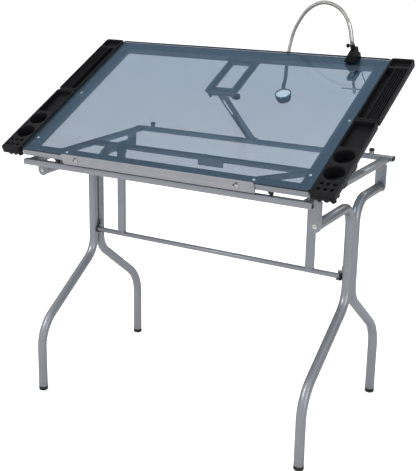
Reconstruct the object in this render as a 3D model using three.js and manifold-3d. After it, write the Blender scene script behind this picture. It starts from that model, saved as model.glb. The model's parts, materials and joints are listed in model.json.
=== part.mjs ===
// A folding drafting table: a tinted glass top that tilts on a steel base frame, hang-on supply
// trays, a slide-up pencil ledge, two bent-tube leg sets that fold inward, and a clamp-on lamp.
// Millimetres. +X is the user's right, +Y is away from the user, +Z is up, and the floor is z = 0.
// The origin is on the floor under the middle of the table's overall box. Lengths along Y below are
// measured from the middle of the four feet, and the whole table is then moved onto the origin.
import * as THREE from 'three';
import { mergeVertices } from 'three/addons/utils/BufferGeometryUtils.js';
import Module from 'manifold-3d';

const wasm = await Module();
wasm.setup();

// ---- driving dimensions -------------------------------------------------------------------
const FIT = 0.3; // clearance between separate pieces

const GLASS = { width: 895, depth: 597, thick: 5, corner: 9 };
const TILT = THREE.MathUtils.degToRad(25.76); // the top's angle as the table stands
const TOP_FRONT = { y: -320.6, z: 781 }; // front edge of the glass at that angle
const HINGE = { back: 36, drop: 35, lugX: 432.1, tabX: 427.7, thick: 4, eye: 8, pin: 3.9 };

const FRAME = { top: -5.3, bottom: -22.7, side: 445, front: 0.5, rear: 594, inX: 412, inFront: 30, inRear: 558 };
const RAIL = { top: 746.4, tall: 12.7, outer: 443, wide: 25, frontY: -302, frontDeep: 20 };
const FRONT_RAIL = { left: 452, right: 447, top: 745.4, tall: 16 };
const REAR_RAIL = { front: 284, back: 309, half: 447.5 };
const MID_RAIL = { front: 4, back: 29 };
const SEAM_Y = 85; // butt joint in each side rail

const TUBE = 14.3; // leg tube radius
const LEG = { x: 433, footY: 269, frontPostY: 11, rearPostY: 47, armEndY: 235.5, armBend: 62 };
const ARM_Z = { left: 701, right: 668 }; // fold axes, one tube apart so the folded legs stack
const PLATE = { half: 16.5, thick: 4, y: 236 };
const FOOT = { radius: 14.6, tall: 12 };

const BRACE = { pivotY: 10, pivotZ: 725, barZ: 457, barHalf: 412, bar: 7.5, postX: 321, postWide: 24, postDeep: 12.7 };

const STRUT = { pivotY: 272, pivotZ: 748, half: 8, wide: 18, wall: 2.5 };
const YOKE = { half: 50, front: 398, rear: 592, inHalf: 30, inFront: 420, drop: -32, pinS: 408, pinN: -42 };

const TRAY = { inner: 448.2, outer: 514, top: 2, floor: -16, lead: -10, split: 300 };
const CUP = { radius: 27, wall: 2.5, bottom: -33, at: [76, 143] };
const PEN = { radius: 5.5, wall: 2, bottom: -33, pitch: 17.5, at: [11.5, 32.5], offset: 2 };
const LEDGE = { half: 300, front: -3.3, back: -0.6, bottom: -32.4, top: 1.2, screwX: 251, screwN: -15, travel: 8 };
const CLAMP = { x: 341, half: 12, s: 565 };
const SOCKET = { x: 342, s: 588, bottom: 30.3, top: 44, knob: 6 };
const ARM = 5.3; // flexible arm radius
const HEAD = { x: 186, s: 430, radius: 23, top: -30, bottom: -56 };

// ---- finishes -----------------------------------------------------------------------------
const finish = (color, roughness, metalness) =>
  new THREE.MeshStandardMaterial({ color, roughness, metalness });
const silver = () => finish(0x979aa1, 0.42, 0.7);
const blackPlastic = () => finish(0x17171a, 0.45, 0);
const rubber = () => finish(0x0e0e0f, 0.8, 0);
const steel = () => finish(0xb9bbbe, 0.25, 1);
const tintedGlass = () =>
  new THREE.MeshStandardMaterial({ color: 0x8fa9bd, roughness: 0.05, transparent: true, opacity: 0.45 });

// ---- solid helpers ------------------------------------------------------------------------
function toSolid(geometry) {
  const bare = geometry.index ? geometry.toNonIndexed() : geometry.clone();
  bare.deleteAttribute('normal');
  bare.deleteAttribute('uv');
  const merged = mergeVertices(bare, 1e-4);
  const vertProperties = new Float32Array(merged.attributes.position.array);
  const triVerts = new Uint32Array(merged.index.array);
  return new wasm.Manifold(new wasm.Mesh({ numProp: 3, vertProperties, triVerts }));
}

function toGeometry(solid) {
  const mesh = solid.getMesh();
  const geometry = new THREE.BufferGeometry();
  geometry.setAttribute('position', new THREE.BufferAttribute(new Float32Array(mesh.vertProperties), 3));
  geometry.setIndex(new THREE.BufferAttribute(new Uint32Array(mesh.triVerts), 1));
  return geometry;
}

const join = (...parts) => toGeometry(parts.map(toSolid).reduce((all, part) => all.add(part)));

function cut(blank, ...tools) {
  return toGeometry(tools.map(toSolid).reduce((left, tool) => left.subtract(tool), toSolid(blank)));
}

function block([x0, x1], [y0, y1], [z0, z1]) {
  const geometry = new THREE.BoxGeometry(x1 - x0, y1 - y0, z1 - z0);
  return geometry.translate((x0 + x1) / 2, (y0 + y1) / 2, (z0 + z1) / 2);
}

// A round bar between two points on a line parallel to an axis.
function bar(radius, from, to, sides = 12) {
  const start = new THREE.Vector3(...from);
  const run = new THREE.Vector3(...to).sub(start);
  const geometry = new THREE.CylinderGeometry(radius, radius, run.length(), sides);
  geometry.translate(0, run.length() / 2, 0);
  const turn = new THREE.Quaternion().setFromUnitVectors(new THREE.Vector3(0, 1, 0), run.clone().normalize());
  return geometry.applyQuaternion(turn).translate(start.x, start.y, start.z);
}

// A turned piece: [radius, height] pairs about +Z from the origin.
function turned(profile, sides = 16) {
  const geometry = new THREE.LatheGeometry(profile.map(([r, h]) => new THREE.Vector2(r, h)), sides);
  return geometry.rotateX(Math.PI / 2);
}

// Flat outlines pushed into a plate. "up" stacks along Z, "across" along X and "deep" along Y.
const extrude = (shape, depth, curveSegments = 4) =>
  new THREE.ExtrudeGeometry(shape, { depth, bevelEnabled: false, curveSegments });
const X = new THREE.Vector3(1, 0, 0);
const Y = new THREE.Vector3(0, 1, 0);
const Z = new THREE.Vector3(0, 0, 1);

const plateUp = (shape, [z0, z1], segments) => extrude(shape, z1 - z0, segments).translate(0, 0, z0);

function plateAcross(shape, [x0, x1], segments) {
  const basis = new THREE.Matrix4().makeBasis(Y, Z, X);
  return extrude(shape, x1 - x0, segments).applyMatrix4(basis).translate(x0, 0, 0);
}

function plateDeep(shape, [y0, y1], segments) {
  const basis = new THREE.Matrix4().makeBasis(X, Z, Y.clone().negate());
  return extrude(shape, y1 - y0, segments).applyMatrix4(basis).translate(0, y1, 0);
}

function roundedRect([x0, x1], [y0, y1], r) {
  const shape = new THREE.Shape();
  shape.moveTo(x0 + r, y0);
  shape.lineTo(x1 - r, y0);
  shape.absarc(x1 - r, y0 + r, r, -Math.PI / 2, 0, false);
  shape.lineTo(x1, y1 - r);
  shape.absarc(x1 - r, y1 - r, r, 0, Math.PI / 2, false);
  shape.lineTo(x0 + r, y1);
  shape.absarc(x0 + r, y1 - r, r, Math.PI / 2, Math.PI, false);
  shape.lineTo(x0, y0 + r);
  shape.absarc(x0 + r, y0 + r, r, Math.PI, Math.PI * 1.5, false);
  return shape;
}

// A slot outline with half-round ends along the first axis.
function slotOutline([u0, u1], v, half) {
  const shape = new THREE.Shape();
  shape.moveTo(u0, v - half);
  shape.lineTo(u1, v - half);
  shape.absarc(u1, v, half, -Math.PI / 2, Math.PI / 2, false);
  shape.lineTo(u0, v + half);
  shape.absarc(u0, v, half, Math.PI / 2, Math.PI * 1.5, false);
  return shape;
}

// A tab with a round lower end of radius half about (u, v), rising to v1.
function tabOutline(u, v, half, v1) {
  const shape = new THREE.Shape();
  shape.moveTo(u + half, v1);
  shape.lineTo(u - half, v1);
  shape.lineTo(u - half, v);
  shape.absarc(u, v, half, Math.PI, Math.PI * 2, false);
  return shape;
}

const circle = (radius, sides = 14) => {
  const shape = new THREE.Shape();
  for (let i = 0; i < sides; i += 1) {
    const angle = (i / sides) * Math.PI * 2;
    const point = [radius * Math.cos(angle), radius * Math.sin(angle)];
    if (i === 0) shape.moveTo(...point);
    else shape.lineTo(...point);
  }
  return shape;
};

// A centre line of straights and bends: one step along each straight, several round each bend.
class BentLine extends THREE.Curve {
  constructor(corners, bendSteps = 5) {
    super();
    this.points = [corners[0].point.clone()];
    for (let i = 1; i < corners.length - 1; i += 1) {
      const { point, radius } = corners[i];
      const before = corners[i - 1].point.clone().sub(point).normalize();
      const after = corners[i + 1].point.clone().sub(point).normalize();
      const half = before.angleTo(after) / 2;
      const toCentre = before.clone().add(after).normalize().multiplyScalar(radius / Math.sin(half));
      const centre = point.clone().add(toCentre);
      const start = point.clone().addScaledVector(before, radius / Math.tan(half)).sub(centre);
      const axis = before.clone().cross(after).normalize().negate();
      const sweep = Math.PI - 2 * half;
      for (let k = 0; k <= bendSteps; k += 1) {
        const spoke = start.clone().applyAxisAngle(axis, (sweep * k) / bendSteps);
        this.points.push(centre.clone().add(spoke));
      }
    }
    this.points.push(corners[corners.length - 1].point.clone());
    this.steps = this.points.length - 1;
  }

  getUtoTmapping(u) {
    return u;
  }

  getPoint(t, target = new THREE.Vector3()) {
    const place = Math.min(Math.max(t, 0), 1) * this.steps;
    const i = Math.min(Math.floor(place), this.steps - 1);
    return target.lerpVectors(this.points[i], this.points[i + 1], place - i);
  }
}

function bentBar(corners, radius, sides = 14) {
  const path = new BentLine(corners);
  return new THREE.ExtrudeGeometry(circle(radius, sides), {
    steps: path.steps,
    bevelEnabled: false,
    extrudePath: path,
  });
}

// ---- assembly -----------------------------------------------------------------------------
const centred = new THREE.Group();
const table = new THREE.Group();
centred.add(table);
const topGroup = new THREE.Group(); // x across, y back along the glass, z out of its upper face
topGroup.position.set(0, TOP_FRONT.y, TOP_FRONT.z);
topGroup.rotation.x = TILT;
table.add(topGroup);

function add(name, geometry, material, group = table) {
  const mesh = new THREE.Mesh(geometry, material);
  mesh.name = name;
  group.add(mesh);
  return mesh;
}

const SIDES = [['left', -1], ['right', 1]];
const span = (side, a, b) => (side > 0 ? [a, b] : [-b, -a]);
const railZ = [RAIL.top - RAIL.tall, RAIL.top];

// Places a point given in the tilting top's own directions.
function onTop(x, s, n) {
  return new THREE.Vector3(x, s, n).applyAxisAngle(X, TILT).add(topGroup.position);
}
const hingeAt = onTop(0, HINGE.back, -HINGE.drop);

// ---- base frame ---------------------------------------------------------------------------
function hingeTab(side) {
  const x = span(side, HINGE.tabX, HINGE.tabX + HINGE.thick);
  const outline = new THREE.Shape();
  outline.moveTo(hingeAt.y - HINGE.eye, railZ[1] - 1);
  outline.lineTo(hingeAt.y + HINGE.eye, railZ[1] - 1);
  outline.lineTo(hingeAt.y + HINGE.eye, hingeAt.z);
  outline.absarc(hingeAt.y, hingeAt.z, HINGE.eye, 0, Math.PI, false);
  const hole = bar(HINGE.pin + 0.25, [x[0] - 1, hingeAt.y, hingeAt.z], [x[1] + 1, hingeAt.y, hingeAt.z]);
  return cut(plateAcross(outline, x), hole);
}

function frontRail() {
  const ends = [-FRONT_RAIL.left, FRONT_RAIL.right];
  const z = [FRONT_RAIL.top - FRONT_RAIL.tall, FRONT_RAIL.top];
  const rail = block(ends, [RAIL.frontY, RAIL.frontY + RAIL.frontDeep], z);
  const wall = 1.6;
  const mouths = [[ends[0] - 1, ends[0] + 40], [ends[1] - 40, ends[1] + 1]].map((x) =>
    block(x, [RAIL.frontY + wall, RAIL.frontY + RAIL.frontDeep - wall], [z[0] + wall, z[1] - wall]));
  return cut(rail, ...mouths);
}
add('front_rail', frontRail(), silver());

// The pivot plates hang under the side rails and carry the leg arms between them.
function sideRail(side, armZ) {
  const y = [RAIL.frontY + RAIL.frontDeep + FIT, REAR_RAIL.front - FIT];
  const x = span(side, RAIL.outer - RAIL.wide, RAIL.outer);
  const rail = block(x, y, railZ);
  const plates = [-1, 1].map((end) => {
    const faces = [end * PLATE.y, end * (PLATE.y + PLATE.thick)].sort((a, b) => a - b);
    return plateDeep(tabOutline(side * LEG.x, armZ, PLATE.half, railZ[0] + 1), faces);
  });
  const holes = [-1, 1].map((end) =>
    bar(4.3, [side * LEG.x, end * (PLATE.y - 2), armZ], [side * LEG.x, end * (PLATE.y + PLATE.thick + 2), armZ]));
  const groove = cut(
    block([x[0] - 2, x[1] + 2], [SEAM_Y - 0.5, SEAM_Y + 0.5], [railZ[0] - 2, railZ[1] + 2]),
    block([x[0] + 0.8, x[1] - 0.8], [SEAM_Y - 2, SEAM_Y + 2], [railZ[0] + 0.8, railZ[1] - 0.8]),
  );
  return cut(join(rail, hingeTab(side), ...plates), ...holes, groove);
}
add('side_rail_left', sideRail(-1, ARM_Z.left), silver());
add('side_rail_right', sideRail(1, ARM_Z.right), silver());

const POST = { x: 383, y: 291.5, radius: 7.5, top: 758, cap: 764.5 };
function rearRail() {
  const rail = block([-REAR_RAIL.half, REAR_RAIL.half], [REAR_RAIL.front, REAR_RAIL.back], railZ);
  const posts = SIDES.map(([, side]) => bar(POST.radius, [side * POST.x, POST.y, railZ[1] - 2], [side * POST.x, POST.y, POST.top], 14));
  return join(rail, ...posts);
}
add('rear_rail', rearRail(), silver());

for (const [name, side] of SIDES) {
  const cap = turned([[0, 0.2], [POST.radius + 0.8, 0.2], [POST.radius + 0.8, POST.cap - POST.top],
    [POST.radius, POST.cap - POST.top + 1], [0, POST.cap - POST.top + 1]], 14);
  add(`rest_cap_${name}`, cap.translate(side * POST.x, POST.y, POST.top), rubber());
  const plug = block(span(side, REAR_RAIL.half + 0.2, REAR_RAIL.half + 2.6),
    [REAR_RAIL.front, REAR_RAIL.back], [railZ[0], railZ[1]]);
  add(`rail_plug_${name}`, plug, blackPlastic());
}

// A clevis under the mid rail takes the top end of each brace post.
function braceClevis(side) {
  const inner = BRACE.postWide / 2 + 0.5;
  const outer = inner + 3;
  const ears = [-1, 1].map((ear) => {
    const x = [side * BRACE.postX + ear * inner, side * BRACE.postX + ear * outer].sort((a, b) => a - b);
    return plateAcross(tabOutline(BRACE.pivotY, BRACE.pivotZ, 6.5, railZ[0] + 1), x);
  });
  return ears;
}

function midRail() {
  const reach = RAIL.outer - RAIL.wide - FIT;
  const rail = block([-reach, reach], [MID_RAIL.front, MID_RAIL.back], railZ);
  const ears = [...braceClevis(-1), ...braceClevis(1)];
  const hinge = [BRACE.pivotY, BRACE.pivotZ];
  const holes = SIDES.map(([, side]) =>
    bar(3.2, [side * BRACE.postX - 20, ...hinge], [side * BRACE.postX + 20, ...hinge]));
  return cut(join(rail, ...ears), ...holes);
}
add('mid_rail', midRail(), silver());

for (const [name, side] of SIDES) {
  const ends = { front: 130, back: 315 };
  const y = [RAIL.frontY + RAIL.frontDeep + FIT, MID_RAIL.front - 0.8];
  const half = 13;
  const outline = new THREE.Shape([
    new THREE.Vector2(side * (ends.front - half), y[0]),
    new THREE.Vector2(side * (ends.front + half), y[0]),
    new THREE.Vector2(side * (ends.back + half), y[1]),
    new THREE.Vector2(side * (ends.back - half), y[1]),
  ]);
  add(`diagonal_rail_${name}`, plateUp(outline, railZ), silver());
}

function centreCatch() {
  const plate = plateDeep(roundedRect([-42, 42], [719, RAIL.top - 1], 4), [0.5, MID_RAIL.front - FIT]);
  const shelf = block([-30, -14], [0.5, 20], [RAIL.top + FIT, RAIL.top + 2]);
  const riser = block([-30, -14], [0.5, MID_RAIL.front - FIT], [RAIL.top - 8, RAIL.top + 2]);
  const stud = bar(3.5, [-22, 13, RAIL.top + 1], [-22, 13, RAIL.top + 5.5], 10);
  return join(plate, riser, shelf, stud);
}
add('centre_catch', centreCatch(), silver());

function strutClevis() {
  const inner = STRUT.wide / 2 + 0.6;
  const outer = inner + 3;
  const back = REAR_RAIL.front - FIT;
  const web = block([-outer, outer], [back - 3, back], [735, 757]);
  const outline = new THREE.Shape();
  outline.moveTo(back, 740);
  outline.lineTo(back, 756);
  outline.lineTo(STRUT.pivotY, STRUT.pivotZ + 8);
  outline.absarc(STRUT.pivotY, STRUT.pivotZ, 8, Math.PI / 2, Math.PI * 1.5, false);
  const ears = [[-outer, -inner], [inner, outer]].map((x) => plateAcross(outline, x));
  return cut(join(web, ...ears), bar(3.2, [-20, STRUT.pivotY, STRUT.pivotZ], [20, STRUT.pivotY, STRUT.pivotZ]));
}
add('strut_clevis', strutClevis(), silver());

// A headed pin along X from the shank end to the head.
function headedPin(radius, from, to, head, headLong) {
  const way = Math.sign(to[0] - from[0]);
  const crown = bar(head, [to[0] - 0.01 * way, to[1], to[2]], [to[0] + headLong * way, to[1], to[2]], 12);
  return join(bar(radius, from, to, 10), crown);
}
add('strut_pin', headedPin(2.9, [-13.5, STRUT.pivotY, STRUT.pivotZ], [12.9, STRUT.pivotY, STRUT.pivotZ], 5, 3), steel());

for (const [name, side] of SIDES) {
  const at = [BRACE.pivotY, BRACE.pivotZ];
  const inner = side * BRACE.postX - side * 17;
  const outer = side * BRACE.postX + side * 15.9;
  add(`brace_pin_${name}`, headedPin(2.9, [inner, ...at], [outer, ...at], 5, 3), steel());
  const axle = [hingeAt.y, hingeAt.z];
  add(`hinge_pin_${name}`, headedPin(HINGE.pin, [side * 436.6, ...axle], [side * 427.3, ...axle], 7, 2.5), steel());
}

// ---- legs ---------------------------------------------------------------------------------
// Each leg tube: foot, sloping shank, upright post, and the arm that turns in a pivot plate.
function legTube(side, end, armZ) {
  const postY = end < 0 ? LEG.frontPostY : LEG.rearPostY;
  const kneeZ = end < 0 ? 205 : 215;
  const at = (y, z, radius = 0) => ({ point: new THREE.Vector3(side * LEG.x, y, z), radius });
  const corners = [
    at(end * LEG.footY, FOOT.tall + FIT),
    at(end * LEG.footY, kneeZ, 120),
    at(postY, 386, 80),
    at(postY, armZ, LEG.armBend),
    at(end * LEG.armEndY, armZ),
  ];
  return bentBar(corners, TUBE);
}

const footCap = () => turned([[0, 0], [FOOT.radius - 2.5, 0], [FOOT.radius, 2.5], [FOOT.radius, FOOT.tall],
  [0, FOOT.tall]], 14);

// The catch is welded between the two posts and holds the brace bar from behind and below.
function braceCatch(side) {
  const bar0 = BRACE.pivotY + BRACE.bar;
  const outline = new THREE.Shape();
  const lipZ = BRACE.barZ - BRACE.bar - 1.2;
  outline.moveTo(2, lipZ - 2.5);
  outline.lineTo(bar0 + 4.5, lipZ - 2.5);
  outline.lineTo(bar0 + 4.5, BRACE.barZ + 13);
  outline.lineTo(bar0 + 1.2, BRACE.barZ + 13);
  outline.lineTo(bar0 + 1.2, lipZ);
  outline.lineTo(2, lipZ);
  const hook = plateAcross(outline, span(side, 402.5, 417.5));
  const backing = block(span(side, 410, 439), [25.8, 32.2], [442, 480]);
  const bridge = block(span(side, 411, 417), [bar0 + 3, 27], [446, 470]);
  return join(hook, bridge, backing);
}

for (const [name, side] of SIDES) {
  const armZ = ARM_Z[name];
  for (const [place, end] of [['front', -1], ['rear', 1]]) {
    add(`leg_${place}_${name}`, legTube(side, end, armZ), silver());
    add(`foot_${place}_${name}`, footCap().translate(side * LEG.x, end * LEG.footY, 0), rubber());
    const face = end * (PLATE.y + PLATE.thick);
    const shank = bar(4, [side * LEG.x, end * LEG.armEndY + end * 0.3, armZ], [side * LEG.x, face + end * 0.4, armZ], 10);
    const head = bar(6.5, [side * LEG.x, face + end * 0.3, armZ], [side * LEG.x, face + end * 3.5, armZ], 12);
    add(`pivot_bolt_${place}_${name}`, join(shank, head), steel());
  }
  add(`brace_catch_${name}`, braceCatch(side), silver());
}

// ---- swing-down brace ---------------------------------------------------------------------
function swingBrace() {
  const crossbar = bar(BRACE.bar, [-BRACE.barHalf, BRACE.pivotY, BRACE.barZ], [BRACE.barHalf, BRACE.pivotY, BRACE.barZ], 14);
  const posts = SIDES.map(([, side]) => {
    const half = BRACE.postDeep / 2;
    const outline = new THREE.Shape();
    outline.moveTo(BRACE.pivotY - half, BRACE.barZ);
    outline.lineTo(BRACE.pivotY + half, BRACE.barZ);
    outline.lineTo(BRACE.pivotY + half, BRACE.pivotZ);
    outline.absarc(BRACE.pivotY, BRACE.pivotZ, half, 0, Math.PI, false);
    const x = [side * BRACE.postX - BRACE.postWide / 2, side * BRACE.postX + BRACE.postWide / 2];
    return plateAcross(outline, x);
  });
  const eyes = SIDES.map(([, side]) =>
    bar(3.2, [side * BRACE.postX - 20, BRACE.pivotY, BRACE.pivotZ], [side * BRACE.postX + 20, BRACE.pivotY, BRACE.pivotZ]));
  return cut(join(crossbar, ...posts), ...eyes);
}
add('swing_brace', swingBrace(), silver());

for (const [name, side] of SIDES) {
  const plug = turned([[0, 0.2], [7.8, 0.2], [7.8, 3.2], [6.6, 4.6], [0, 4.8]], 14);
  plug.rotateY((side * Math.PI) / 2).translate(side * BRACE.barHalf, BRACE.pivotY, BRACE.barZ);
  add(`brace_plug_${name}`, plug, rubber());
}

// ---- prop strut ---------------------------------------------------------------------------
// A slotted channel from the rear rail to the yoke under the glass.
const strutPin = onTop(0, YOKE.pinS, YOKE.pinN);
const strutRun = new THREE.Vector2(STRUT.pivotY - strutPin.y, strutPin.z - STRUT.pivotZ);
const strutGroup = new THREE.Group(); // y along the strut from its lower pivot
strutGroup.position.set(0, STRUT.pivotY, STRUT.pivotZ);
strutGroup.rotation.x = Math.PI - Math.atan2(strutRun.y, strutRun.x);
table.add(strutGroup);

function propStrut() {
  const long = strutRun.length();
  const x = [-STRUT.wide / 2, STRUT.wide / 2];
  const blank = plateAcross(slotOutline([0, long], 0, STRUT.half), x);
  const hollow = block([x[0] + STRUT.wall, x[1] - STRUT.wall], [16, long - 16], [-STRUT.half + STRUT.wall, STRUT.half + 2]);
  const slot = plateAcross(slotOutline([162, long], 0, 3.8), [x[0] - 1, x[1] + 1]);
  const eye = bar(3.2, [x[0] - 1, 0, 0], [x[1] + 1, 0, 0]);
  return cut(blank, hollow, slot, eye);
}
add('prop_strut', propStrut(), silver(), strutGroup);

// ---- tilting top --------------------------------------------------------------------------
add('glass_top', plateUp(roundedRect([-GLASS.width / 2, GLASS.width / 2], [0, GLASS.depth], GLASS.corner),
  [-GLASS.thick, 0]), tintedGlass(), topGroup);

function hingeLug(side) {
  const x = span(side, HINGE.lugX, HINGE.lugX + HINGE.thick);
  return plateAcross(tabOutline(HINGE.back, -HINGE.drop, HINGE.eye, FRAME.bottom + 1), x);
}

function topFrame() {
  const outer = roundedRect([-FRAME.side, FRAME.side], [FRAME.front, FRAME.rear], 6);
  outer.holes.push(new THREE.Path(roundedRect([-FRAME.inX, FRAME.inX], [FRAME.inFront, FRAME.inRear], 3).getPoints(2).reverse()));
  const ring = plateUp(outer, [FRAME.bottom, FRAME.top], 2);
  const stops = SIDES.map(([, side]) =>
    bar(9, [side * POST.x, FRAME.rear - 9, FRAME.bottom + 1], [side * POST.x, FRAME.rear - 9, -34.5], 12));
  const eyes = SIDES.map(([, side]) =>
    bar(HINGE.pin + 0.25, [side * 425, HINGE.back, -HINGE.drop], [side * 440, HINGE.back, -HINGE.drop]));
  return cut(join(ring, ...stops, hingeLug(-1), hingeLug(1)), ...eyes);
}
add('top_frame', topFrame(), silver(), topGroup);

function yoke() {
  const outline = roundedRect([-YOKE.half, YOKE.half], [YOKE.front, YOKE.rear], 4);
  outline.holes.push(new THREE.Path(roundedRect([-YOKE.inHalf, YOKE.inHalf], [YOKE.inFront, YOKE.rear - 40], 3).getPoints(2).reverse()));
  const ring = plateUp(outline, [YOKE.drop, FRAME.bottom - FIT], 2);
  const lugs = SIDES.map(([, side]) => plateAcross(tabOutline(YOKE.pinS, YOKE.pinN, 9, YOKE.drop + 1), span(side, 36, 40)));
  return cut(join(ring, ...lugs), bar(4.3, [-60, YOKE.pinS, YOKE.pinN], [60, YOKE.pinS, YOKE.pinN]));
}
add('strut_yoke', yoke(), silver(), topGroup);
const slotSide = STRUT.wide / 2 + 0.6;
add('strut_bolt', headedPin(4, [-slotSide, YOKE.pinS, YOKE.pinN], [-40.4, YOKE.pinS, YOKE.pinN], 7, 5), steel(), topGroup);

function lockKnob() {
  const stem = bar(4, [slotSide, YOKE.pinS, YOKE.pinN], [41, YOKE.pinS, YOKE.pinN], 10);
  const grip = turned([[0, 0], [7, 0], [9.4, 2], [9.4, 14], [7.5, 16], [0, 16]], 16);
  return join(stem, grip.rotateY(Math.PI / 2).translate(40.5, YOKE.pinS, YOKE.pinN));
}
add('lock_knob', lockKnob(), blackPlastic(), topGroup);

for (const [name, side] of SIDES) {
  const x = side > 0 ? 337 : -330;
  const foot = [[0, -42], [4, -42], [5, -40], [9, -28], [9, FRAME.bottom - FIT], [0, FRAME.bottom - FIT]];
  add(`front_bumper_${name}`, turned(foot, 16).translate(x, 12, 0),
    rubber(), topGroup);
  const hanger = new THREE.Shape();
  const wall = side * (FRAME.side + FIT);
  const lip = TRAY.floor - FIT;
  hanger.moveTo(wall, FRAME.top - 1);
  hanger.lineTo(wall, lip - 2.2);
  hanger.lineTo(side * 462, lip - 2.2);
  hanger.lineTo(side * 462, lip);
  hanger.lineTo(wall + side * 2.2, lip);
  hanger.lineTo(wall + side * 2.2, FRAME.top - 1);
  add(`tray_hanger_${name}`, plateDeep(hanger, [178, 590]), silver(), topGroup);
  const at = [side * LEDGE.screwX, LEDGE.screwN];
  const screw = join(
    bar(2.4, [at[0], FRAME.front - FIT, at[1]], [at[0], LEDGE.front - 0.5, at[1]], 12),
    bar(5.5, [at[0], LEDGE.front - 0.3, at[1]], [at[0], LEDGE.front - 2.8, at[1]], 16),
  );
  add(`ledge_screw_${name}`, screw, steel(), topGroup);
}

// The ledge is caught behind two screws in L-shaped slots and slides up along the frame's face.
function pencilLedge() {
  const outline = roundedRect([-LEDGE.half, LEDGE.half], [LEDGE.bottom, LEDGE.top], 5);
  const y = [LEDGE.front, LEDGE.back];
  const slots = SIDES.flatMap(([, side]) => {
    const x = side * LEDGE.screwX;
    const rise = new THREE.Shape(slotOutline([LEDGE.screwN, LEDGE.screwN + LEDGE.travel], x, 3.1).getPoints(3)
      .map((p) => new THREE.Vector2(p.y, p.x)));
    const foot = slotOutline([x - 9, x], LEDGE.screwN, 3.1);
    return [rise, foot].map((shape) => plateDeep(shape, [y[0] - 1, y[1] + 1]));
  });
  return cut(plateDeep(outline, y), ...slots);
}
add('pencil_ledge', pencilLedge(), silver(), topGroup);

// ---- trays --------------------------------------------------------------------------------
const trayMiddle = (TRAY.inner + TRAY.outer) / 2;
const well = ([x0, x1], s, floor, r = 6) => plateUp(roundedRect([x0, x1], s, r), [floor, TRAY.top + 1], 2);
const mirror = (side, [a, b]) => (side > 0 ? [a, b] : [-b, -a]);

function frontTray(side) {
  const s = [TRAY.lead, TRAY.split - 1.5];
  const body = plateUp(roundedRect(mirror(side, [TRAY.inner, TRAY.outer]), s, 8), [TRAY.floor, TRAY.top], 3);
  const cups = CUP.at.map((at) => [side * trayMiddle, at]);
  const pens = PEN.at.flatMap((at) => [-1, 0, 1].map((k) => [side * (trayMiddle + PEN.offset + k * PEN.pitch), at]));
  const rod = ([x, at], radius, low, high, sides) => bar(radius, [x, at, high], [x, at, low], sides);
  const walls = [
    ...cups.map((cup) => rod(cup, CUP.radius + CUP.wall, CUP.bottom - 2, TRAY.floor + 2, 20)),
    ...pens.map((pen) => rod(pen, PEN.radius + PEN.wall, PEN.bottom - 2, TRAY.floor + 2, 8)),
  ];
  const wells = [
    ...cups.map((cup) => rod(cup, CUP.radius, CUP.bottom, TRAY.top + 1, 20)),
    ...pens.map((pen) => rod(pen, PEN.radius, PEN.bottom, TRAY.top + 1, 8)),
  ];
  const bin = well(mirror(side, [TRAY.inner + 5, TRAY.outer - 5]), [182, s[1] - 6], TRAY.floor + 2);
  return cut(join(body, ...walls), ...wells, bin);
}

function rearTray(side) {
  const s = [TRAY.split + 1.5, 598];
  const body = plateUp(roundedRect(mirror(side, [TRAY.inner, TRAY.outer]), s, 8), [TRAY.floor, TRAY.top], 3);
  const run = [s[0] + 6, 548];
  const gutter = well(mirror(side, [TRAY.inner + 5, TRAY.inner + 26]), run, TRAY.floor + 2);
  const pocket = well(mirror(side, [TRAY.inner + 5, TRAY.outer - 5]), [556, s[1] - 6], -10);
  const grooves = [0, 1, 2, 3, 4].map((k) => {
    const x = TRAY.inner + 30 + k * 6.4;
    return well(mirror(side, [x, x + 4.4]), run, -7, 2);
  });
  return cut(body, gutter, pocket, ...grooves);
}

for (const [name, side] of SIDES) {
  add(`tray_front_${name}`, frontTray(side), blackPlastic(), topGroup);
  add(`tray_rear_${name}`, rearTray(side), blackPlastic(), topGroup);
}

// ---- clamp-on lamp ------------------------------------------------------------------------
// A C-shaped hook round the frame's rear bar, with a gusset on top that carries the lamp's socket.
function clampBody() {
  const x = [CLAMP.x - CLAMP.half, CLAMP.x + CLAMP.half];
  const outline = new THREE.Shape();
  outline.moveTo(562, FIT);
  outline.lineTo(599, FIT);
  outline.lineTo(599, -42);
  outline.lineTo(550, -42);
  outline.lineTo(550, -53);
  outline.lineTo(606, -53);
  outline.absarc(606, -47, 6, -Math.PI / 2, 0, false);
  outline.lineTo(612, 3);
  outline.absarc(607, 3, 5, 0, Math.PI / 2, false);
  outline.lineTo(562, 8);
  const hook = plateAcross(outline, x);
  const face = new THREE.Shape();
  face.moveTo(CLAMP.x - 20, FIT);
  face.lineTo(CLAMP.x + 12, FIT);
  face.lineTo(CLAMP.x + 11, SOCKET.bottom - FIT);
  face.lineTo(CLAMP.x - 4, SOCKET.bottom - FIT);
  const gusset = plateDeep(face, [562, 602]);
  return cut(join(hook, gusset), bar(4.4, [CLAMP.x, CLAMP.s, -60], [CLAMP.x, CLAMP.s, -38]));
}
add('clamp_body', clampBody(), blackPlastic(), topGroup);

function clampScrew() {
  const screw = turned([[0, -104], [5, -104], [5, -84], [4, -82], [4, -29], [10, -28], [10, -23.2], [0, -23.2]], 16);
  const hole = bar(2.3, [-10, 0, -90], [10, 0, -90], 12);
  return cut(screw, hole).translate(CLAMP.x, CLAMP.s, 0);
}
add('clamp_screw', clampScrew(), steel(), topGroup);
add('tommy_bar', bar(2, [CLAMP.x - 38, CLAMP.s, -90], [CLAMP.x + 36, CLAMP.s, -90], 12), steel(), topGroup);

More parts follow.
